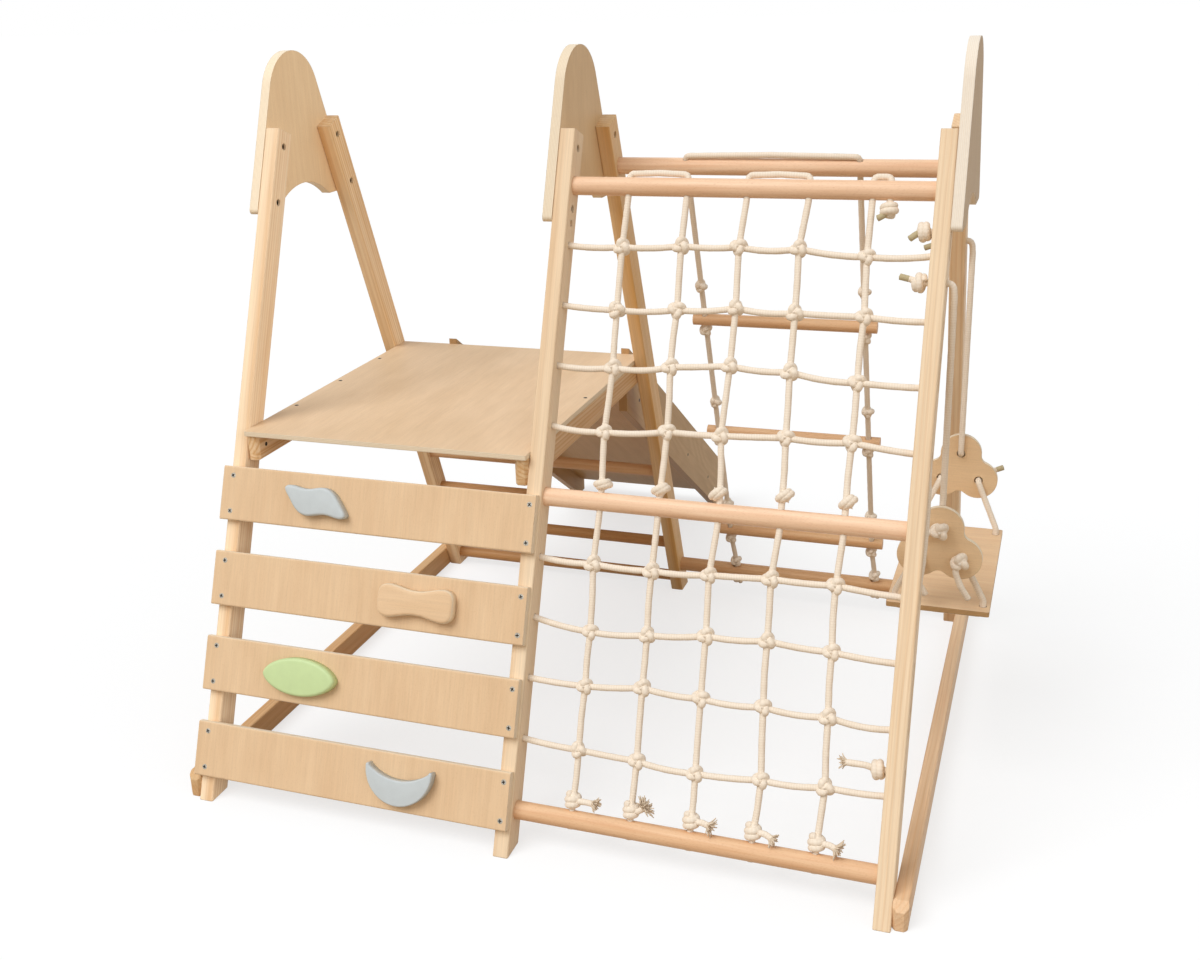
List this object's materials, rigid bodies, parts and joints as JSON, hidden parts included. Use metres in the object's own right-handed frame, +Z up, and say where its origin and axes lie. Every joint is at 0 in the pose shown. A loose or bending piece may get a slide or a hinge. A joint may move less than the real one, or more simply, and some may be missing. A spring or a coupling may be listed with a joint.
{
  "type": "climbing frame",
  "caption": "Wooden indoor climbing frame: leaning leg pairs carry a deck with climbing boards and a slide, a knotted rope net, a rope ladder and a board swing.",
  "frame": {"origin": "on the floor, under the middle of the bounding box", "axes": "+X along the row of leg pairs from the slide bay to the swing, +Y from the climbing side to the slide's lower end, +Z up"},
  "size_m": [1.384, 1.717, 1.304],
  "materials": {
    "pine": "sanded, clear matt",
    "birch_ply": "sanded, clear matt",
    "beech": "turned, clear matt",
    "cotton_rope": "braided",
    "blue_grey_paint": "painted, matt",
    "green_paint": "painted, matt",
    "screw_steel": "zinc"
  },
  "bodies": {
    "frame": {"leg_left_front": "pine", "leg_left_rear": "pine", "leg_middle_front": "pine", "leg_middle_rear": "pine", "leg_right_front": "pine", "leg_right_rear": "pine", "cap_left": "birch_ply", "cap_middle": "birch_ply", "cap_right": "birch_ply", "cap_screws": "screw_steel", "floor_rail_left": "pine", "floor_rail_right": "pine", "deck_rail_left": "pine", "deck_rail_right": "pine", "rail_screws": "screw_steel", "deck_panel": "birch_ply", "deck_screws": "screw_steel", "climbing_board_1": "birch_ply", "climbing_board_2": "birch_ply", "climbing_board_3": "birch_ply", "climbing_board_4": "birch_ply", "board_screws": "screw_steel", "hold_wave": "blue_grey_paint", "hold_bone": "birch_ply", "hold_leaf": "green_paint", "hold_moon": "blue_grey_paint", "hold_screws": "screw_steel", "rear_bar_1": "beech", "rear_bar_2": "beech", "rear_bar_3": "beech", "rear_bar_4": "beech", "bar_top_front": "beech", "bar_top_rear": "beech", "bar_middle": "beech", "bar_bottom": "beech", "bar_ladder": "beech", "climbing_net": "cotton_rope", "ladder_rope": "cotton_rope", "ladder_rung_1": "beech", "ladder_rung_2": "beech", "ladder_rung_3": "beech", "swing_anchor_front": "cotton_rope", "swing_anchor_rear": "cotton_rope", "slide_wall_left": "birch_ply", "slide_wall_right": "birch_ply", "slide_bed": "birch_ply", "slide_screws": "screw_steel"},
    "swing": {"swing_rope_front": "cotton_rope", "swing_rope_rear": "cotton_rope", "swing_sling_front": "cotton_rope", "swing_sling_rear": "cotton_rope", "swing_spreader_front": "birch_ply", "swing_spreader_rear": "birch_ply", "swing_seat": "birch_ply"}
  },
  "joints": [
    {"name": "swing_hang", "type": "hinge", "parent": "frame", "child": "swing", "pos_m": [0.606, -0.2675, 0.846], "axis": [0, 1, 0], "range_deg": [-45, 45]}
  ]
}
